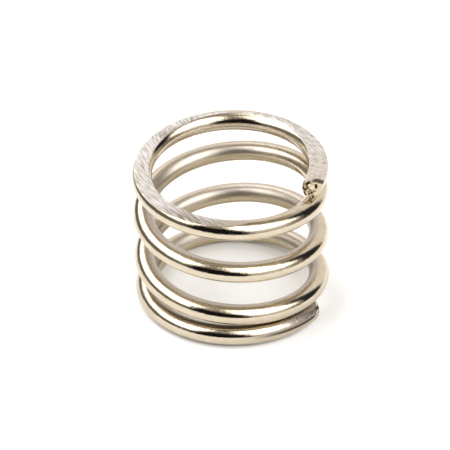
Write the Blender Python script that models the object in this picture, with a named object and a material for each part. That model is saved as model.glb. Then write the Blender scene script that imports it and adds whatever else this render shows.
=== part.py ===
"""A left-hand compression spring, wound cold from one length of round wire.

Both ends are closed and ground flat. The wire is modelled as a closed end coil at each end and the
active coil between them, which is cut into equal lengths so that the spring can be pressed together:
each length slides straight down on the one below it.

The origin is on the ground, under the middle of the spring's box. +Z points up.
Turns are counted down the wire, and turn 0 is the wire's place over +X nearest the top tip.
"""

import math

import bmesh
import bpy
from mathutils import Matrix, Vector

MM = 0.001
UP = Vector((0.0, 0.0, 1.0))

# Driving dimensions
WIRE_DIAMETER = 2.5 * MM
OUTSIDE_DIAMETER = 24.0 * MM
FREE_HEIGHT = 18.8 * MM  # between the two ground faces, along the coil's own axis
FIRST_HEIGHT = 18.5 * MM  # the wire's centre at turn 0, above the bottom face
AXIS_AT_SEAT = (0.195 * MM, -0.204 * MM)  # where the leaning coil axis meets the bottom face

# The cut ends of the wire, and the ends of the active coil, in turns
TOP_TIP = -20.0 / 360.0
BOTTOM_TIP = 3.0 + 332.5 / 360.0
ACTIVE_START = 0.9
ACTIVE_END = 2.7
ACTIVE_LENGTHS = 9

# How the coil was wound: (turn, pitch in wire diameters per turn), straight between the entries
PITCH_PROGRAM = (
    (0.0, 0.0),
    (0.25, 0.55),
    (0.5, 1.5),
    (0.75, 1.8),
    (1.0, 2.55),
    (3.0, 2.5),
    (3.3, 0.9),
    (3.4, 0.0),
    (3.7, 0.15),
    (3.93, 3.4),
)

# How far the spring is out of true, in degrees about the ground: towards +X, then towards +Y
COIL_LEAN = (-1.1, 1.2)
TOP_FACE_LEAN = (-2.6, -2.9)

# The shear leaves slanted ends: how fast each leans back upwards and outwards, and the height over
# the wire's centre at which it is exactly at the tip
TOP_SHEAR = (0.8, 0.0, 0.78 * MM)
BOTTOM_SHEAR = (0.7, -0.25, 0.0)

# Where the grinding wheel lets go of the top face it tips down: place and angle, in degrees
FACE_BENDS_AT = 235.0
FACE_BEND = 2.3

# Fineness of the solids
PIECE_GAP = 0.3 * MM  # between the lengths of wire
SIDES = 16
DEGREES_PER_STEP = 6.0

PLATED_STEEL = (0.80, 0.74, 0.64, 1.0)

WIRE_RADIUS = WIRE_DIAMETER / 2
COIL_RADIUS = (OUTSIDE_DIAMETER - WIRE_DIAMETER) / 2


def clear_scene():
    for obj in list(bpy.data.objects):
        bpy.data.objects.remove(obj)


def pitch_at(turn):
    """Pitch at this turn, in wire diameters per turn."""
    before = PITCH_PROGRAM[0]
    for after in PITCH_PROGRAM:
        if turn <= after[0]:
            break
        before = after
    if after[0] == before[0]:
        return after[1]
    share = (turn - before[0]) / (after[0] - before[0])
    return before[1] + share * (after[1] - before[1])


def height_at(turn):
    """Height of the wire's centre above the bottom face, along the coil's axis."""
    stops = [0.0] + [stop for stop, _ in PITCH_PROGRAM if 0.0 < stop < turn] + [turn]
    drop = 0.0
    for low, high in zip(stops, stops[1:]):
        drop += (high - low) * (pitch_at(low) + pitch_at(high)) / 2
    return FIRST_HEIGHT - drop * WIRE_DIAMETER


def leaning(lean_degrees):
    """Unit vector that leans from straight up by these angles towards +X and +Y."""
    return Vector([math.tan(math.radians(angle)) for angle in lean_degrees] + [1.0]).normalized()


def coil_to_part():
    """Turns the upright coil by its lean, and stands it on the ground."""
    lean = UP.rotation_difference(leaning(COIL_LEAN)).to_matrix().to_4x4()
    return Matrix.Translation((*AXIS_AT_SEAT, 0.0)) @ lean


def section_at(turn):
    """Matrix that puts a circle in the XY plane round the wire here: X outwards, Y up."""
    angle = 2 * math.pi * turn
    outwards = Vector((math.cos(angle), math.sin(angle), 0.0))
    slope = pitch_at(turn) * WIRE_DIAMETER / (2 * math.pi * COIL_RADIUS)
    stretched_up = UP * math.hypot(1.0, slope)
    section = Matrix((outwards, stretched_up, outwards.cross(UP))).transposed().to_4x4()
    section.translation = outwards * COIL_RADIUS + UP * height_at(turn)
    return section


def sheared(section, shear):
    """The section where a slanted shear cuts the wire."""
    upwards, outwards, lip_height = shear
    slant = Matrix.Identity(4)
    slant[2] = (-outwards, -upwards, 1.0, upwards * lip_height)
    return section @ slant


def turns_between(start, end):
    """The two ends, and between them every whole step that is at least half a step from both."""
    step = DEGREES_PER_STEP / 360.0
    first = math.ceil(start / step + 0.5)
    last = math.floor(end / step - 0.5)
    return [start] + [number * step for number in range(first, last + 1)] + [end]


def wind_wire(bm, start, end):
    """Sweeps a round section down the wire from one turn to another, and closes both ends."""
    stations = [section_at(turn) for turn in turns_between(start, end)]
    if start == TOP_TIP:
        stations[0] = sheared(stations[0], TOP_SHEAR)
    if end == BOTTOM_TIP:
        stations[-1] = sheared(stations[-1], BOTTOM_SHEAR)
    ring = bmesh.ops.create_circle(
        bm, cap_ends=True, segments=SIDES, radius=WIRE_RADIUS, matrix=stations[0]
    )["verts"]
    edges = list({edge for vert in ring for edge in vert.link_edges})
    for here, there in zip(stations, stations[1:]):
        grown = bmesh.ops.extrude_edge_only(bm, edges=edges)["geom"]
        ring = [item for item in grown if isinstance(item, bmesh.types.BMVert)]
        edges = [
            item
            for item in grown
            if isinstance(item, bmesh.types.BMEdge) and item.is_boundary
        ]
        bmesh.ops.transform(bm, matrix=there @ here.inverted(), verts=ring)
    bmesh.ops.edgeloop_fill(bm, edges=edges)


def pieces_where(bm, keep):
    """The points that pass the test, and the edges and faces that have no other points."""
    verts = {vert for vert in bm.verts if keep(vert.co)}
    edges = [edge for edge in bm.edges if verts.issuperset(edge.verts)]
    faces = [face for face in bm.faces if verts.issuperset(face.verts)]
    return [*verts, *edges, *faces]


def grind(bm, pieces, point, outwards):
    """Cuts away what stands proud of a plane, and closes the cut with flat faces."""
    cut = bmesh.ops.bisect_plane(
        bm, geom=pieces, plane_co=point, plane_no=outwards, clear_outer=True
    )["geom_cut"]
    rim = [item for item in cut if isinstance(item, bmesh.types.BMEdge)]
    return bmesh.ops.holes_fill(bm, edges=rim)["faces"]


def grind_top_face(bm):
    """Grinds the top face flat, and tips it down where the wheel lets go of it at the front."""
    seat = coil_to_part() @ Vector((0.0, 0.0, FREE_HEIGHT))
    face_up = leaning(TOP_FACE_LEAN)
    ground = grind(bm, pieces_where(bm, lambda point: True), seat, face_up)
    if not ground:
        return
    whole = {item for face in ground for item in (face, *face.edges, *face.verts)}
    across_front = Vector((1.0, -1.0, 0.0))
    bmesh.ops.bisect_plane(bm, geom=list(whole), plane_co=seat, plane_no=across_front)
    angle = math.radians(FACE_BENDS_AT)
    across = Vector((math.cos(angle), math.sin(angle), 0.0)) * COIL_RADIUS
    across.z = -across.dot(face_up) / face_up.z
    bent_up = (face_up + Vector((math.tan(math.radians(FACE_BEND)), 0.0, 0.0))).normalized()
    front = pieces_where(bm, lambda point: point.y < 0.0 and point.x < COIL_RADIUS / 2)
    grind(bm, front, seat + across, bent_up)


def plated_steel(name):
    material = bpy.data.materials.new(name)
    material.use_nodes = True
    shader = material.node_tree.nodes["Principled BSDF"]
    shader.inputs["Base Color"].default_value = PLATED_STEEL
    shader.inputs["Metallic"].default_value = 1.0
    shader.inputs["Roughness"].default_value = 0.2
    return material


def make_length(name, start, end):
    """One length of the wire, from one turn to another, as an object with its origin on the axis."""
    bm = bmesh.new()
    wind_wire(bm, start, end)
    to_part = coil_to_part()
    bmesh.ops.transform(bm, matrix=to_part, verts=bm.verts)
    grind(bm, pieces_where(bm, lambda point: True), Vector((0.0, 0.0, 0.0)), -UP)
    grind_top_face(bm)
    bmesh.ops.recalc_face_normals(bm, faces=bm.faces)

    origin = to_part @ Vector((0.0, 0.0, height_at((start + end) / 2)))
    bmesh.ops.translate(bm, vec=-origin, verts=bm.verts)
    mesh = bpy.data.meshes.new(name)
    bm.to_mesh(mesh)
    bm.free()
    mesh.shade_smooth()
    mesh.set_sharp_from_angle(angle=math.radians(40.0))
    mesh.materials.append(plated_steel(name))
    obj = bpy.data.objects.new(name, mesh)
    obj.location = origin
    bpy.context.scene.collection.objects.link(obj)


def main():
    clear_scene()
    half_gap = PIECE_GAP / (2 * math.pi * COIL_RADIUS) / 2
    make_length("top_end_coil", TOP_TIP, ACTIVE_START - half_gap)
    length = (ACTIVE_END - ACTIVE_START) / ACTIVE_LENGTHS
    for number in range(ACTIVE_LENGTHS, 0, -1):
        start = ACTIVE_START + (ACTIVE_LENGTHS - number) * length
        make_length(f"active_coil_{number}", start + half_gap, start + length - half_gap)
    make_length("bottom_end_coil", ACTIVE_END + half_gap, BOTTOM_TIP)


main()
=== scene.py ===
import math

import bmesh
import bpy
from bpy.props import FloatProperty, FloatVectorProperty, IntProperty, PointerProperty
from mathutils import Matrix, Vector, noise
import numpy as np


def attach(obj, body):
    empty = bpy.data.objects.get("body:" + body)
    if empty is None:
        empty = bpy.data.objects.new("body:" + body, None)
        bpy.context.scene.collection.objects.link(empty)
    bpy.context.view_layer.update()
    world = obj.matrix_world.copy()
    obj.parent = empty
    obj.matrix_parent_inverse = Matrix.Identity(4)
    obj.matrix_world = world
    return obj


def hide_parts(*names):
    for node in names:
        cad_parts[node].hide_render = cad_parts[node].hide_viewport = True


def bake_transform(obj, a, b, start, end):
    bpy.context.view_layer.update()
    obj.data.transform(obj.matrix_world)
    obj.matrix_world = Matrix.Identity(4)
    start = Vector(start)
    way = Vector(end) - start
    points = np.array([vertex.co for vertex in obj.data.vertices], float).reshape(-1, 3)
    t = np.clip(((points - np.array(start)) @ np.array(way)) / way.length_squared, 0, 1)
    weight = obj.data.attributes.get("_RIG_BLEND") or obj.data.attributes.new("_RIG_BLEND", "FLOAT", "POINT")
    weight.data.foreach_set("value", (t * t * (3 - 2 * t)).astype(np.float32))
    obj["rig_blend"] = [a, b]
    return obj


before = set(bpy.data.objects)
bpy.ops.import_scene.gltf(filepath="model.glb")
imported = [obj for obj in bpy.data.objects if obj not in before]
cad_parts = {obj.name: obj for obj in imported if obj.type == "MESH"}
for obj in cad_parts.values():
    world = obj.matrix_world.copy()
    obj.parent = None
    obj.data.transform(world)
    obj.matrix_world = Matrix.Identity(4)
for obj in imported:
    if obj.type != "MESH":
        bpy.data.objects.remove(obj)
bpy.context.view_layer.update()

bl_info = {
    "name": "Compression Spring",
    "version": (1, 0, 0),
    "blender": (4, 5, 0),
    "location": "View3D > Sidebar > Spring",
    "description": "Models a left-hand compression spring with closed and ground ends",
    "category": "Object",
}

MM = 0.001
UP = Vector((0.0, 0.0, 1.0))

# How the coil was wound, as in the solids: (turn, pitch in wire diameters per turn)
PITCH_PROGRAM = (
    (0.0, 0.0),
    (0.25, 0.55),
    (0.5, 1.5),
    (0.75, 1.8),
    (1.0, 2.55),
    (3.0, 2.5),
    (3.3, 0.9),
    (3.4, 0.0),
    (3.7, 0.15),
    (3.93, 3.4),
)
TOP_TIP = -20.0 / 360.0
BOTTOM_TIP = 3.0 + 332.5 / 360.0
ACTIVE_START = 0.9
ACTIVE_END = 2.7
ACTIVE_LENGTHS = 9
AXIS_AT_SEAT = (0.195 * MM, -0.204 * MM)
COIL_LEAN = (-1.1, 1.2)
TOP_FACE_LEAN = (-2.6, -2.9)
FIRST_HEIGHT = 18.5 * MM

# Where the grinding wheel lets go of the top face it tips down: place and angle, in degrees
FACE_BENDS_AT = 235.0
FACE_BEND = 2.3

# Where the bottom cut differs from the top one
BOTTOM_CUT = {
    "turn": BOTTOM_TIP,
    "facing": -1.0,
    "lip_height": 0.0,
    "slant_up": -0.7,
    "slant_outwards": 0.25,
    "crag_height": 0.12 * MM,
}

# Stretches over which the wire's looks change, in millimetres of wire from turn 0 (67.5 a turn)
INSIDE_TURNS_DULL = (66.0, 84.0)
# painted shade: the stretch where the wire's top is darkened where it closes on the coil above
CLOSED_GAP_PAINTED_SHADE = (236.0, 250.0)
CREASE_BEGINS = (254.0, 259.0)
MAUVE_PATCH_BEGINS = (258.0, 261.0)
PATCH_ENDS_BEFORE_TIP = (264.0, 264.8)
BOTTOM_TIP_EDGE = (264.86, 264.96)
FLAT_BROWNS = (40.5, 45.5)
FLAT_FADES_OUT = (47.5, 50.5)
NEAR_TOP_TIP = (3.6, -1.0)
# painted shade: where the crevice at the top tip's edge darkens the ground face
TOP_TIP_CREVICE_SHADE = (-3.10, -3.28)

# The grinding wheel's sweep over the top face, in millimetres: its middle and its radius there
WHEEL_MIDDLE = (33.0, 23.0)
WHEEL_RADIUS = 40.0

# The studio: the ceiling's colour, then the patches painted over it in order, each with its
# azimuth (0 in front, 90 to the right), half width, lowest and highest elevation, the softness of
# its sides and of its rims, all in degrees, and its colour
STUDIO_CEILING = (0.415, 0.377, 0.342)
PATCH_SHAPE = ("Azimuth", "Half Width", "Low", "High", "Side Edge", "Rim Edge")
STUDIO_PATCHES = (
    (180.0, 75.0, -40.0, 47.0, 20.0, 14.0, (1.15, 1.10, 1.07)),
    (-97.0, 60.0, -40.0, 25.0, 20.0, 10.0, (0.215, 0.21, 0.195)),
    (-101.0, 63.0, 25.0, 72.0, 10.0, 12.0, (3.2, 3.2, 3.2)),
    (46.0, 22.0, -5.0, 24.0, 12.0, 12.0, (0.85, 0.85, 0.88)),
    (48.0, 43.0, 21.0, 80.0, 12.0, 12.0, (3.2, 3.2, 3.2)),
    (105.0, 18.0, -40.0, 50.0, 10.0, 12.0, (0.03, 0.031, 0.036)),
    (-19.0, 27.0, -40.0, 46.0, 12.0, 16.0, (0.012, 0.012, 0.014)),
    (6.0, 15.0, -40.0, 37.0, 12.0, 12.0, (0.012, 0.012, 0.014)),
)
BACKDROP = (1.1, 1.1, 1.1)  # what is seen straight past the floor


# ---------------------------------------------------------------- the wire's path


def pitch_at(turn):
    """Pitch at this turn, in wire diameters per turn."""
    before = PITCH_PROGRAM[0]
    for after in PITCH_PROGRAM:
        if turn <= after[0]:
            break
        before = after
    if after[0] == before[0]:
        return after[1]
    share = (turn - before[0]) / (after[0] - before[0])
    return before[1] + share * (after[1] - before[1])


def height_at(turn, wire_diameter):
    """Height of the wire's centre above the bottom face, along the coil's axis."""
    stops = [0.0] + [stop for stop, _ in PITCH_PROGRAM if 0.0 < stop < turn] + [turn]
    drop = 0.0
    for low, high in zip(stops, stops[1:]):
        drop += (high - low) * (pitch_at(low) + pitch_at(high)) / 2
    return FIRST_HEIGHT - drop * wire_diameter


def leaning(lean_degrees):
    """Unit vector that leans from straight up by these angles towards +X and +Y."""
    return Vector([math.tan(math.radians(angle)) for angle in lean_degrees] + [1.0]).normalized()


def coil_to_part():
    """Turns the upright coil by its lean, and stands it on the ground."""
    lean = UP.rotation_difference(leaning(COIL_LEAN)).to_matrix().to_4x4()
    return Matrix.Translation((*AXIS_AT_SEAT, 0.0)) @ lean


def section_at(turn, wire):
    """Matrix that puts a circle in the XY plane round the wire here: X outwards, Y up."""
    angle = 2 * math.pi * turn
    outwards = Vector((math.cos(angle), math.sin(angle), 0.0))
    slope = pitch_at(turn) * wire.diameter / (2 * math.pi * wire.coil_radius)
    stretched_up = UP * math.hypot(1.0, slope)
    section = Matrix((outwards, stretched_up, outwards.cross(UP))).transposed().to_4x4()
    section.translation = outwards * wire.coil_radius + UP * height_at(turn, wire.diameter)
    return section


# ---------------------------------------------------------------- meshes


def wind_wire(wire, start, end):
    """A closed round length of the wire from one turn to another, in the part's frame.

    Each point keeps its place on the straight wire, before coiling: along it, outwards and up.
    """
    bm = bmesh.new()
    place = bm.verts.layers.float_vector.new("wire_place")
    bm.verts.layers.float.new("crag_depth")
    steps = math.ceil(360.0 * (end - start) / wire.degrees_per_step)
    turns = [start + (end - start) * step / steps for step in range(steps + 1)]
    stations = [section_at(turn, wire) for turn in turns]

    def mark(ring, turn, station):
        straight = station.inverted()
        for vert in ring:
            aside = straight @ vert.co
            vert[place] = (turn * 2 * math.pi * wire.coil_radius, aside.x, aside.y)

    ring = bmesh.ops.create_circle(
        bm, cap_ends=True, segments=wire.sides, radius=wire.diameter / 2, matrix=stations[0]
    )["verts"]
    mark(ring, turns[0], stations[0])
    edges = list(dict.fromkeys(edge for vert in ring for edge in vert.link_edges))
    for turn, here, there in zip(turns[1:], stations, stations[1:]):
        grown = bmesh.ops.extrude_edge_only(bm, edges=edges)["geom"]
        ring = [item for item in grown if isinstance(item, bmesh.types.BMVert)]
        edges = [
            item
            for item in grown
            if isinstance(item, bmesh.types.BMEdge) and item.is_boundary
        ]
        bmesh.ops.transform(bm, matrix=there @ here.inverted(), verts=ring)
        mark(ring, turn, there)
    bmesh.ops.edgeloop_fill(bm, edges=edges)
    bmesh.ops.transform(bm, matrix=coil_to_part(), verts=bm.verts)
    return bm


def cut(bm, geometry, point, outwards, material_index):
    """Cuts the geometry away beyond a plane, closes the cut, and returns the new faces."""
    rim = bmesh.ops.bisect_plane(
        bm, geom=geometry, plane_co=point, plane_no=outwards, clear_outer=True
    )["geom_cut"]
    rim = [item for item in rim if isinstance(item, bmesh.types.BMEdge)]
    faces = bmesh.ops.holes_fill(bm, edges=rim)["faces"]
    for face in faces:
        face.material_index = material_index
    return faces


def split_face(bm, faces, point, direction):
    """Splits the faces along a plane, and returns all their pieces, always in the same order."""
    geometry = dict.fromkeys(item for face in faces for item in (face, *face.edges, *face.verts))
    split = bmesh.ops.bisect_plane(bm, geom=list(geometry), plane_co=point, plane_no=direction)
    made = [item for item in split["geom"] if isinstance(item, bmesh.types.BMFace)]
    return [face for face in dict.fromkeys([*faces, *made]) if face.is_valid]


def stretch_of_wire(bm, wire, start, end):
    """The faces, edges and points of the wire between two turns."""
    place = bm.verts.layers.float_vector["wire_place"]
    per_turn = 2 * math.pi * wire.coil_radius
    verts = [vert for vert in bm.verts if start * per_turn < vert[place].x < end * per_turn]
    inside = set(verts)
    edges = [edge for edge in bm.edges if inside.issuperset(edge.verts)]
    faces = [face for face in bm.faces if inside.issuperset(face.verts)]
    return [*verts, *edges, *faces]


def shear(bm, wire, end):
    """Cuts the wire's end off with a slanted shear, and breaks the cut face up into crags."""
    station = coil_to_part() @ section_at(end.turn, wire)
    outwards, up, along = (station.to_3x3().col[axis].normalized() for axis in range(3))
    along = along * end.facing
    point = station @ Vector((0.0, end.lip_height, 0.0))
    slant = (along + up * end.slant_up + outwards * end.slant_outwards).normalized()
    faces = cut(bm, stretch_of_wire(bm, wire, end.turn - 0.08, end.turn + 0.08), point, slant, 2)
    across = slant.cross(outwards).normalized()
    aside = across.cross(slant).normalized()
    for direction in (across, aside):
        for step in range(-24, 25):
            faces = split_face(bm, faces, point + direction * step * end.grain, direction)
    crag = bm.verts.layers.float["crag_depth"]
    place = bm.verts.layers.float_vector["wire_place"]
    noise.seed_set(end.noise_seed)
    for vert in dict.fromkeys(vert for face in faces for vert in face.verts):
        on_rim = any(face.material_index != 2 for face in vert.link_faces)
        burnished = min(max((vert[place].y / wire.diameter * 2 - end.burnished) * 5, 0.0), 1.0)
        spot = vert.co / end.crag_size
        spot += noise.noise_vector(spot * 1.3) * 0.35
        height = noise.noise(spot) + noise.noise(spot * 2.2) * 0.5
        height += (noise.cell(spot * 1.6) - 0.5) * 0.5
        share = (0.3 if on_rim else 1.0) * (1.0 - burnished)
        vert.co += (along if on_rim else slant) * height * end.crag_height * share
        # how deep the point lies, which darkens the crevices as painted shade
        vert[crag] = max(0.0, -height) * (1.0 - burnished)
    bmesh.ops.triangulate(bm, faces=faces, quad_method="SHORT_EDGE")


def finish_mesh(bm, name, materials):
    """Turns a bmesh into an object at the origin with its materials, smooth but for sharp edges."""
    flats = [face for face in bm.faces if len(face.verts) > 4]
    bmesh.ops.triangulate(bm, faces=flats, ngon_method="BEAUTY")
    bmesh.ops.recalc_face_normals(bm, faces=bm.faces)
    for face in bm.faces:
        face.smooth = face.material_index != 2
    mesh = bpy.data.meshes.new(name)
    bm.to_mesh(mesh)
    bm.free()
    mesh.set_sharp_from_angle(angle=math.radians(35.0))
    for material in materials:
        mesh.materials.append(material)
    obj = bpy.data.objects.new(name, mesh)
    bpy.context.scene.collection.objects.link(obj)
    return obj


# ---------------------------------------------------------------- materials


def new_material(name):
    """A material with only a Principled BSDF, and its nodes, links and shader."""
    material = bpy.data.materials.new(name)
    material.use_nodes = True
    tree = material.node_tree
    return material, tree, tree.nodes["Principled BSDF"]


class Nodes:
    """Short ways to add shader nodes to a tree."""

    def __init__(self, tree):
        self.tree = tree

    def link(self, value, socket):
        if isinstance(value, bpy.types.NodeSocket):
            self.tree.links.new(value, socket)
        elif value is not None:
            socket.default_value = value

    def math(self, operation, first, second=None):
        node = self.tree.nodes.new("ShaderNodeMath")
        node.operation = operation
        self.link(first, node.inputs[0])
        self.link(second, node.inputs[1])
        return node.outputs[0]

    def product(self, first, *others):
        for other in others:
            first = self.math("MULTIPLY", first, other)
        return first

    def length(self, first, second):
        squares = [self.math("MULTIPLY", value, value) for value in (first, second)]
        return self.math("SQRT", self.math("ADD", *squares))

    def scaled(self, vector, scale):
        node = self.tree.nodes.new("ShaderNodeVectorMath")
        node.operation = "MULTIPLY"
        self.link(vector, node.inputs[0])
        node.inputs[1].default_value = scale
        return node.outputs[0]

    def added(self, vector, offset):
        node = self.tree.nodes.new("ShaderNodeVectorMath")
        node.operation = "ADD"
        self.link(vector, node.inputs[0])
        node.inputs[1].default_value = offset
        return node.outputs[0]

    def parts(self, vector):
        node = self.tree.nodes.new("ShaderNodeSeparateXYZ")
        self.link(vector, node.inputs[0])
        return node.outputs

    def noise(self, vector, scale=1.0, detail=2.0, roughness=0.5):
        node = self.tree.nodes.new("ShaderNodeTexNoise")
        self.link(vector, node.inputs["Vector"])
        self.link(scale, node.inputs["Scale"])
        node.inputs["Detail"].default_value = detail
        node.inputs["Roughness"].default_value = roughness
        return node.outputs[0]

    def ramp(self, value, low, high, out_low=0.0, out_high=1.0):
        node = self.tree.nodes.new("ShaderNodeMapRange")
        node.interpolation_type = "SMOOTHSTEP"
        sockets = ("Value", "From Min", "From Max", "To Min", "To Max")
        for name, setting in zip(sockets, (value, low, high, out_low, out_high)):
            self.link(setting, node.inputs[name])
        return node.outputs["Result"]

    def mix(self, factor, first, second):
        node = self.tree.nodes.new("ShaderNodeMix")
        node.data_type = "RGBA"
        self.link(factor, node.inputs["Factor"])
        for value, name in ((first, "A"), (second, "B")):
            if not isinstance(value, bpy.types.NodeSocket):
                value = (*value, 1.0)
            self.link(value, node.inputs[name])
        return node.outputs["Result"]

    def bump(self, height, strength, distance):
        node = self.tree.nodes.new("ShaderNodeBump")
        self.link(height, node.inputs["Height"])
        node.inputs["Strength"].default_value = strength
        node.inputs["Distance"].default_value = distance
        return node.outputs["Normal"]


def streak_group():
    """Long fine streaks along X of a vector in millimetres, as a value from 0 to 1."""
    group = bpy.data.node_groups.new("metal_streaks", "ShaderNodeTree")
    group.interface.new_socket("Vector", in_out="INPUT", socket_type="NodeSocketVector")
    for name, default in (("Length", 4.0), ("Width", 0.15), ("Waviness", 0.0)):
        socket = group.interface.new_socket(name, in_out="INPUT", socket_type="NodeSocketFloat")
        socket.default_value = default
    group.interface.new_socket("Streaks", in_out="OUTPUT", socket_type="NodeSocketFloat")
    kit = Nodes(group)
    inputs = group.nodes.new("NodeGroupInput")
    outputs = group.nodes.new("NodeGroupOutput")
    x, y, z = kit.parts(inputs.outputs["Vector"])
    wave = kit.math("SUBTRACT", kit.noise(inputs.outputs["Vector"], 0.5, 1.0), 0.5)
    y = kit.math("ADD", y, kit.math("MULTIPLY", wave, inputs.outputs["Waviness"]))
    along = kit.math("DIVIDE", x, inputs.outputs["Length"])
    across = kit.math("DIVIDE", y, inputs.outputs["Width"])
    through = kit.math("DIVIDE", z, inputs.outputs["Width"])
    spot = group.nodes.new("ShaderNodeCombineXYZ")
    for socket, value in zip(spot.inputs, (along, across, through)):
        kit.link(value, socket)
    fine = kit.noise(spot.outputs[0], 1.0, 3.0, 0.6)
    kit.link(kit.ramp(fine, 0.3, 0.7), outputs.inputs["Streaks"])
    return group


def streaks(kit, vector, length, width, waviness=0.0):
    node = kit.tree.nodes.new("ShaderNodeGroup")
    node.node_tree = bpy.data.node_groups.get("metal_streaks") or streak_group()
    kit.link(vector, node.inputs["Vector"])
    for name, value in (("Length", length), ("Width", width), ("Waviness", waviness)):
        node.inputs[name].default_value = value
    return node.outputs["Streaks"]


def wire_place(kit):
    """The place on the straight wire in millimetres: along it, outwards and up."""
    node = kit.tree.nodes.new("ShaderNodeAttribute")
    node.attribute_name = "wire_place"
    return kit.scaled(node.outputs["Vector"], (1 / MM,) * 3)


def object_place(kit):
    """The place in the piece's own frame, in millimetres."""
    coordinates = kit.tree.nodes.new("ShaderNodeTexCoord")
    return kit.scaled(coordinates.outputs["Object"], (1 / MM,) * 3)


def plated_wire_material(colours):
    """Bright nickel over drawn wire: faint lines along it, a fine grain, duller inside the coil, with
    painted reflections there and painted shade in the closed gap.
    """
    material, tree, shader = new_material("nickel_plate")
    kit = Nodes(tree)
    place = wire_place(kit)
    along, outwards, up = kit.parts(place)
    lines = streaks(kit, place, 9.0, 0.11)
    grain = kit.noise(place, 3.4, 3.0, 0.6)
    cloud = kit.noise(place, 0.9, 3.0, 0.55)

    inside = kit.ramp(outwards, 0.75, -0.5)
    below_top = kit.ramp(along, *INSIDE_TURNS_DULL)
    dull = kit.math("MULTIPLY", inside, below_top)
    roughness = kit.ramp(cloud, 0.35, 0.7, 0.06, 0.10)
    roughness = kit.math("ADD", roughness, kit.math("MULTIPLY", dull, 0.26))
    roughness = kit.math("ADD", roughness, kit.ramp(grain, 0.55, 0.8, 0.0, 0.08))
    to_tip = kit.math("SUBTRACT", along, kit.math("MULTIPLY", up, 0.7))
    to_tip = kit.math("ADD", to_tip, kit.math("MULTIPLY", outwards, 0.25))
    over_crease = kit.math("SUBTRACT", up, kit.ramp(to_tip, *PATCH_ENDS_BEFORE_TIP, 0.0, 1.4))
    # a rougher, bumpier greyish-mauve patch on the wire just before the bottom tip
    mauve_patch = kit.product(
        kit.ramp(along, *MAUVE_PATCH_BEGINS),
        kit.ramp(over_crease, 0.1, 0.5),
        kit.ramp(kit.noise(place, 5.0, 3.0, 0.7), 0.35, 0.55),
    )
    roughness = kit.math("ADD", roughness, kit.math("MULTIPLY", mauve_patch, 0.4))
    kit.link(roughness, shader.inputs["Roughness"])

    warm = tuple(c * f for c, f in zip(colours.nickel, (0.93, 0.90, 0.84)))
    tint = kit.mix(kit.ramp(cloud, 0.3, 0.75), colours.nickel, warm)
    specks = kit.ramp(kit.noise(place, 5.5, 2.0, 0.5), 0.72, 0.80, 0.0, 0.55)
    tint = kit.mix(specks, tint, (0.16, 0.13, 0.10))
    # painted reflections inside the coil: greyer and darker on the upper side, more golden on the lower side
    painted_reflection_inside_top = kit.math("MULTIPLY", dull, kit.ramp(up, 0.0, 0.8))
    tint = kit.mix(kit.math("MULTIPLY", painted_reflection_inside_top, 0.8), tint, (0.49, 0.445, 0.40))
    painted_reflection_inside_bottom = kit.math("MULTIPLY", dull, kit.ramp(up, 0.5, -0.2))
    tint = kit.mix(kit.math("MULTIPLY", painted_reflection_inside_bottom, 0.8), tint, (0.52, 0.435, 0.285))
    # painted shade: near-black along the top of the wire where it closes on the coil above
    painted_gap_shade = kit.math(
        "MULTIPLY", kit.ramp(up, 1.20, 1.24), kit.ramp(along, *CLOSED_GAP_PAINTED_SHADE)
    )
    tint = kit.mix(kit.math("MULTIPLY", painted_gap_shade, 0.93), tint, (0.03, 0.022, 0.015))
    tint = kit.mix(kit.math("MULTIPLY", mauve_patch, 0.75), tint, (0.24, 0.205, 0.22))
    crease = kit.product(
        kit.ramp(over_crease, -0.02, 0.14),
        kit.ramp(over_crease, 0.5, 0.3),
        kit.ramp(along, *CREASE_BEGINS),
    )
    tint = kit.mix(kit.math("MULTIPLY", crease, 0.9), tint, (0.03, 0.02, 0.015))
    tint = kit.mix(kit.ramp(to_tip, *BOTTOM_TIP_EDGE, 0.0, 0.8), tint, (0.09, 0.08, 0.04))
    kit.link(tint, shader.inputs["Base Color"])
    shader.inputs["Metallic"].default_value = 1.0

    height = kit.math("ADD", kit.math("MULTIPLY", lines, 0.12), grain)
    height = kit.math("ADD", height, kit.math("MULTIPLY", mauve_patch, 0.3))
    kit.link(kit.bump(height, 0.8, 0.024 * MM), shader.inputs["Normal"])
    return material


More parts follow.
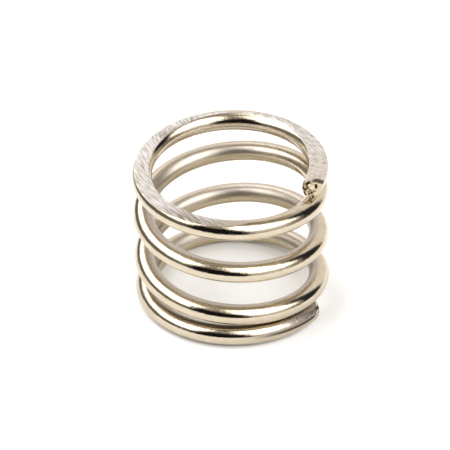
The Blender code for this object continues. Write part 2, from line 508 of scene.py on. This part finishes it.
def ground_face_material(colours):
    """Steel from the grinding wheel: slightly curved parallel scratches, pitted near the tip."""
    material, tree, shader = new_material("ground_steel")
    kit = Nodes(tree)
    spot = object_place(kit)
    from_wheel = kit.added(spot, (-WHEEL_MIDDLE[0], -WHEEL_MIDDLE[1], 0.0))
    x, y, _ = kit.parts(from_wheel)
    reach = kit.length(x, y)
    angle = kit.math("ARCTAN2", y, kit.math("MULTIPLY", x, -1.0))
    sweep = kit.math("MULTIPLY", angle, WHEEL_RADIUS)
    bent = tree.nodes.new("ShaderNodeCombineXYZ")
    kit.link(sweep, bent.inputs[0])
    kit.link(reach, bent.inputs[1])
    fine = streaks(kit, bent.outputs[0], 1.4, 0.05, 0.3)
    coarse = streaks(kit, bent.outputs[0], 1.8, 0.15, 0.5)
    scratch = kit.math("ADD", kit.math("MULTIPLY", fine, 0.55), kit.math("MULTIPLY", coarse, 0.45))

    bright = colours.ground
    dark = tuple(c * f for c, f in zip(bright, (0.38, 0.35, 0.32)))
    tint = kit.mix(kit.ramp(scratch, 0.24, 0.60), dark, bright)
    along, outwards, up = kit.parts(wire_place(kit))
    near_tip = kit.ramp(along, *NEAR_TOP_TIP)
    pits = kit.ramp(kit.noise(spot, 3.6, 3.0, 0.6), 0.55, 0.66)
    pits = kit.math("MULTIPLY", pits, near_tip)
    browned = tuple(c * f for c, f in zip(bright, (0.80, 0.74, 0.66)))
    tint = kit.mix(kit.math("MULTIPLY", near_tip, 0.6), tint, browned)
    tint = kit.mix(kit.math("MULTIPLY", pits, 0.8), tint, (0.20, 0.17, 0.13))
    near_end = kit.product(
        kit.ramp(along, *FLAT_BROWNS),
        kit.ramp(outwards, -0.75, 0.1),
        kit.ramp(scratch, 0.70, 0.40, 0.10, 1.0),
    )
    tint = kit.mix(near_end, tint, (0.17, 0.13, 0.07))
    tint = kit.mix(kit.ramp(along, *FLAT_FADES_OUT, 0.0, 0.8), tint, (0.50, 0.435, 0.36))
    # painted shade: near-black ragged line in the crevice along the ground face's edge at the top tip
    ragged = kit.math("MULTIPLY", kit.noise(spot, 5.0), 0.7)
    edge = kit.ramp(kit.math("ADD", along, ragged), *TOP_TIP_CREVICE_SHADE)
    edge = kit.math("MULTIPLY", edge, kit.ramp(outwards, -0.4, 0.1))
    tint = kit.mix(kit.math("MULTIPLY", edge, 0.9), tint, (0.05, 0.03, 0.015))
    kit.link(tint, shader.inputs["Base Color"])
    kit.link(kit.ramp(scratch, 0.1, 0.9, 0.52, 0.34), shader.inputs["Roughness"])
    shader.inputs["Metallic"].default_value = 1.0
    height = kit.math("SUBTRACT", scratch, kit.math("MULTIPLY", pits, 1.5))
    rim = kit.ramp(kit.length(outwards, up), 1.12, 1.26)
    height = kit.math("SUBTRACT", height, rim)
    kit.link(kit.bump(height, 0.6, 0.011 * MM), shader.inputs["Normal"])
    return material


def sheared_face_material(colours):
    """Broken steel at the cut ends: bright crags, with painted shade in their crevices and a random grain.
    """
    material, tree, shader = new_material("sheared_steel")
    kit = Nodes(tree)
    depth = tree.nodes.new("ShaderNodeAttribute")
    depth.attribute_name = "crag_depth"
    grain = kit.noise(object_place(kit), 4.0, 4.0, 0.65)
    # painted shade: darker the deeper the crag, mixed with random grain
    dark = kit.math("ADD", depth.outputs["Fac"], kit.math("SUBTRACT", grain, 0.5))
    shade = kit.ramp(dark, 0.20, 0.46)
    tint = kit.mix(shade, colours.sheared, (0.075, 0.045, 0.018))
    kit.link(tint, shader.inputs["Base Color"])
    kit.link(kit.ramp(grain, 0.3, 0.7, 0.28, 0.5), shader.inputs["Roughness"])
    shader.inputs["Metallic"].default_value = 0.35
    kit.link(kit.bump(grain, 0.7, 0.03 * MM), shader.inputs["Normal"])
    return material


# ---------------------------------------------------------------- settings


class SpringWire(bpy.types.PropertyGroup):
    diameter: FloatProperty(
        name="Wire diameter",
        description="Diameter of the round wire",
        default=2.5 * MM,
        unit="LENGTH",
    )
    coil_radius: FloatProperty(
        name="Coil radius",
        description="From the coil's axis to the middle of the wire",
        default=10.75 * MM,
        unit="LENGTH",
    )
    free_height: FloatProperty(
        name="Free height",
        description="Between the two ground faces, along the coil's axis",
        default=18.8 * MM,
        unit="LENGTH",
    )
    sides: IntProperty(
        name="Sides", description="Sides of the wire's round section", default=48
    )
    degrees_per_step: FloatProperty(
        name="Step", description="Degrees of coil between two sections", default=1.0
    )


class SpringColours(bpy.types.PropertyGroup):
    nickel: FloatVectorProperty(
        name="Nickel plate",
        description="Colour of the plated wire",
        subtype="COLOR",
        default=(0.60, 0.527, 0.41),
    )
    ground: FloatVectorProperty(
        name="Ground steel",
        description="Colour of the ground end faces",
        subtype="COLOR",
        default=(0.73, 0.70, 0.665),
    )
    sheared: FloatVectorProperty(
        name="Sheared steel",
        description="Colour of the broken steel at the cut ends",
        subtype="COLOR",
        default=(0.60, 0.50, 0.34),
    )


class CutEnd(bpy.types.PropertyGroup):
    turn: FloatProperty(
        name="Turn", description="Where the wire is cut, in turns", default=TOP_TIP
    )
    facing: FloatProperty(
        name="Facing", description="1 if the cut faces up the wire, -1 if down it", default=1.0
    )
    lip_height: FloatProperty(
        name="Lip height",
        description="Height of the cut's edge over the wire's centre",
        default=0.78 * MM,
        unit="LENGTH",
    )
    slant_up: FloatProperty(
        name="Upward slant", description="How far the cut faces upwards", default=0.8
    )
    slant_outwards: FloatProperty(
        name="Outward slant", description="How far the cut faces outwards", default=0.0
    )
    grain: FloatProperty(
        name="Grain",
        description="Size of the broken surface's facets",
        default=0.1 * MM,
        unit="LENGTH",
    )
    crag_size: FloatProperty(
        name="Crag size", description="Size of the crags", default=0.55 * MM, unit="LENGTH"
    )
    crag_height: FloatProperty(
        name="Crag height", description="Height of the crags", default=0.34 * MM, unit="LENGTH"
    )
    burnished: FloatProperty(
        name="Burnished edge",
        description="Where the smooth part of the cut starts, from -1 inside to 1 outside",
        default=0.35,
    )
    noise_seed: IntProperty(name="Seed", description="Chooses the crags", default=3, min=1)


class SpringLight(bpy.types.PropertyGroup):
    strength: FloatProperty(
        name="Light", description="Strength of the studio light", default=1.0, min=0.0
    )


def shared_materials():
    """The materials by name, made once."""
    colours = bpy.context.scene.spring_colours
    if "nickel_plate" not in bpy.data.materials:
        plated_wire_material(colours)
        ground_face_material(colours)
        sheared_face_material(colours)
    names = ("nickel_plate", "ground_steel", "sheared_steel")
    return [bpy.data.materials[name] for name in names]


# ---------------------------------------------------------------- operators


class SPRING_OT_top_end(bpy.types.Operator):
    """Makes the closed top end coil with its ground face"""

    bl_idname = "spring.top_end"
    bl_label = "Top end coil"

    def execute(self, context):
        wire = context.scene.spring_wire
        bm = wind_wire(wire, TOP_TIP - 0.045, ACTIVE_START)
        shear(bm, wire, context.scene.spring_top_cut)
        seat = coil_to_part() @ Vector((0.0, 0.0, wire.free_height))
        face_up = leaning(TOP_FACE_LEAN)
        faces = cut(bm, stretch_of_wire(bm, wire, -1.0, 1.0), seat, face_up, 1)
        split_face(bm, faces, seat, Vector((1.0, -1.0, 0.0)))
        angle = math.radians(FACE_BENDS_AT)
        across = Vector((math.cos(angle), math.sin(angle), 0.0)) * wire.coil_radius
        across.z = -across.dot(face_up) / face_up.z
        bent_up = (face_up + Vector((math.tan(math.radians(FACE_BEND)), 0.0, 0.0))).normalized()
        cut(bm, stretch_of_wire(bm, wire, 0.6, ACTIVE_START - 0.01), seat + across, bent_up, 1)
        obj = finish_mesh(bm, "top_end_wire", shared_materials())
        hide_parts("top_end_coil")
        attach(obj, "top")
        return {"FINISHED"}


class SPRING_OT_active_coil(bpy.types.Operator):
    """Makes the lengths of the active coil, each bending between the two bodies it joins"""

    bl_idname = "spring.active_coil"
    bl_label = "Active coil"

    def execute(self, context):
        wire = context.scene.spring_wire
        bodies = ["bottom"] + [f"coil_{k}" for k in range(1, ACTIVE_LENGTHS)] + ["top"]
        length = (ACTIVE_END - ACTIVE_START) / ACTIVE_LENGTHS
        inner = wire.coil_radius - wire.diameter / 2
        for number in range(1, ACTIVE_LENGTHS + 1):
            start = ACTIVE_END - number * length
            bm = wind_wire(wire, start, start + length)
            obj = finish_mesh(bm, f"active_wire_{number}", shared_materials()[:1])
            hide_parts(f"active_coil_{number}")
            middle = 2 * math.pi * (start + length / 2)
            along = Vector((-math.sin(middle), math.cos(middle), 0.0))
            reach = along * inner * math.sin(math.pi * length)
            centre = coil_to_part() @ section_at(start + length / 2, wire).translation
            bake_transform(obj, bodies[number - 1], bodies[number], centre + reach, centre - reach)
        return {"FINISHED"}


class SPRING_OT_bottom_end(bpy.types.Operator):
    """Makes the closed bottom end coil with its ground face"""

    bl_idname = "spring.bottom_end"
    bl_label = "Bottom end coil"

    def execute(self, context):
        wire = context.scene.spring_wire
        bm = wind_wire(wire, ACTIVE_END, BOTTOM_TIP + 0.02)
        end = context.scene.spring_bottom_cut
        for name, value in BOTTOM_CUT.items():
            setattr(end, name, value)
        shear(bm, wire, end)
        cut(bm, stretch_of_wire(bm, wire, 3.0, 5.0), Vector((0.0, 0.0, 0.0)), -UP, 1)
        obj = finish_mesh(bm, "bottom_end_wire", shared_materials())
        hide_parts("bottom_end_coil")
        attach(obj, "bottom")
        return {"FINISHED"}


class SPRING_OT_stage(bpy.types.Operator):
    """Sets the floor, the lights and the camera"""

    bl_idname = "spring.stage"
    bl_label = "Stage"

    def execute(self, context):
        make_floor()
        make_world(context.scene.spring_light)
        make_camera()
        context.scene.view_settings.view_transform = "Standard"
        return {"FINISHED"}


def make_floor():
    bm = bmesh.new()
    bmesh.ops.create_grid(bm, x_segments=1, y_segments=1, size=80.0 * MM)
    floor = finish_mesh(bm, "floor", [])
    material, tree, shader = new_material("white_floor")
    shader.inputs["Base Color"].default_value = (0.93, 0.93, 0.93, 1.0)
    shader.inputs["Roughness"].default_value = 0.9
    floor.data.materials.append(material)


def soft_patch_group():
    """Mask of a soft-edged patch of the studio round the spring, from the direction looked in."""
    group = bpy.data.node_groups.new("soft_patch", "ShaderNodeTree")
    add = group.interface.new_socket
    add("Direction", in_out="INPUT", socket_type="NodeSocketVector")
    for name in PATCH_SHAPE:
        add(name, in_out="INPUT", socket_type="NodeSocketFloat")
    add("Mask", in_out="OUTPUT", socket_type="NodeSocketFloat")
    kit = Nodes(group)
    inputs = group.nodes.new("NodeGroupInput").outputs
    outputs = group.nodes.new("NodeGroupOutput").inputs

    def passed(value, edge, width):
        """0 to 1 as the value passes the edge, over the width."""
        half = kit.math("MULTIPLY", width, 0.5)
        return kit.ramp(value, kit.math("SUBTRACT", edge, half), kit.math("ADD", edge, half))

    turned = group.nodes.new("ShaderNodeVectorRotate")
    turned.rotation_type = "Z_AXIS"
    kit.link(inputs["Direction"], turned.inputs["Vector"])
    angle = kit.math("MULTIPLY", inputs["Azimuth"], math.radians(-1.0))
    kit.link(angle, turned.inputs["Angle"])
    x, y, z = kit.parts(turned.outputs[0])
    azimuth = kit.math("ARCTAN2", x, kit.math("MULTIPLY", y, -1.0))
    aside = kit.math("ABSOLUTE", kit.math("MULTIPLY", azimuth, math.degrees(1.0)))
    elevation = kit.math("MULTIPLY", kit.math("ARCSINE", z), math.degrees(1.0))

    above_low = passed(elevation, inputs["Low"], inputs["Rim Edge"])
    above_high = passed(elevation, inputs["High"], inputs["Rim Edge"])
    outside = passed(aside, inputs["Half Width"], inputs["Side Edge"])
    inside_height = kit.math("SUBTRACT", above_low, above_high)
    inside_width = kit.math("SUBTRACT", 1.0, outside)
    kit.link(kit.math("MULTIPLY", inside_height, inside_width), outputs["Mask"])
    return group


def make_world(light):
    """A tented studio: soft boxes to the left and right, and a dark gap in front."""
    world = bpy.data.worlds.new("studio")
    bpy.context.scene.world = world
    world.use_nodes = True
    kit = Nodes(world.node_tree)
    nodes = world.node_tree.nodes
    background = nodes["Background"]
    direction = nodes.new("ShaderNodeTexCoord").outputs["Generated"]
    group = soft_patch_group()
    colour = STUDIO_CEILING
    for *shape, shade in STUDIO_PATCHES:
        patch = nodes.new("ShaderNodeGroup")
        patch.node_tree = group
        kit.link(direction, patch.inputs["Direction"])
        for name, value in zip(PATCH_SHAPE, shape):
            patch.inputs[name].default_value = value
        colour = kit.mix(patch.outputs["Mask"], colour, shade)
    seen = nodes.new("ShaderNodeLightPath").outputs["Is Camera Ray"]
    kit.link(kit.mix(seen, colour, BACKDROP), background.inputs["Color"])
    background.inputs["Strength"].default_value = light.strength


def make_camera():
    data = bpy.data.cameras.new("camera")
    data.lens = 260.3
    data.sensor_width = 36.0
    data.clip_start = 0.01
    data.clip_end = 20.0
    camera = bpy.data.objects.new("camera", data)
    azimuth, elevation, distance = math.radians(-0.77), math.radians(36.2), 0.4
    target = Vector((0.009, -0.002, 9.94)) * MM
    back = Vector(
        (
            math.sin(azimuth) * math.cos(elevation),
            -math.cos(azimuth) * math.cos(elevation),
            math.sin(elevation),
        )
    )
    left = UP.cross(back).normalized() * -1.0
    off_centre = 0.775 * MM
    camera.rotation_euler = back.to_track_quat("Z", "Y").to_euler()
    camera.location = target + back * distance + left * off_centre
    bpy.context.scene.collection.objects.link(camera)
    bpy.context.scene.camera = camera


class SPRING_PT_panel(bpy.types.Panel):
    bl_idname = "SPRING_PT_panel"
    bl_label = "Compression Spring"
    bl_space_type = "VIEW_3D"
    bl_region_type = "UI"
    bl_category = "Spring"

    def draw(self, context):
        layout = self.layout
        scene = context.scene
        for settings in (
            scene.spring_wire,
            scene.spring_colours,
            scene.spring_top_cut,
            scene.spring_bottom_cut,
            scene.spring_light,
        ):
            for name in settings.__annotations__:
                layout.prop(settings, name)
        for operator in OPERATORS:
            layout.operator(operator.bl_idname)


OPERATORS = (SPRING_OT_top_end, SPRING_OT_active_coil, SPRING_OT_bottom_end, SPRING_OT_stage)
CLASSES = (SpringWire, SpringColours, CutEnd, SpringLight, *OPERATORS, SPRING_PT_panel)


def register():
    for cls in CLASSES:
        bpy.utils.register_class(cls)
    bpy.types.Scene.spring_wire = PointerProperty(type=SpringWire)
    bpy.types.Scene.spring_colours = PointerProperty(type=SpringColours)
    bpy.types.Scene.spring_light = PointerProperty(type=SpringLight)
    bpy.types.Scene.spring_top_cut = PointerProperty(type=CutEnd)
    bpy.types.Scene.spring_bottom_cut = PointerProperty(type=CutEnd)


def unregister():
    del bpy.types.Scene.spring_wire
    del bpy.types.Scene.spring_colours
    del bpy.types.Scene.spring_light
    del bpy.types.Scene.spring_top_cut
    del bpy.types.Scene.spring_bottom_cut
    for cls in reversed(CLASSES):
        bpy.utils.unregister_class(cls)


def main():
    register()
    bpy.ops.spring.stage()
    bpy.ops.spring.top_end()
    bpy.ops.spring.active_coil()
    bpy.ops.spring.bottom_end()


if __name__ == "__main__":
    main()
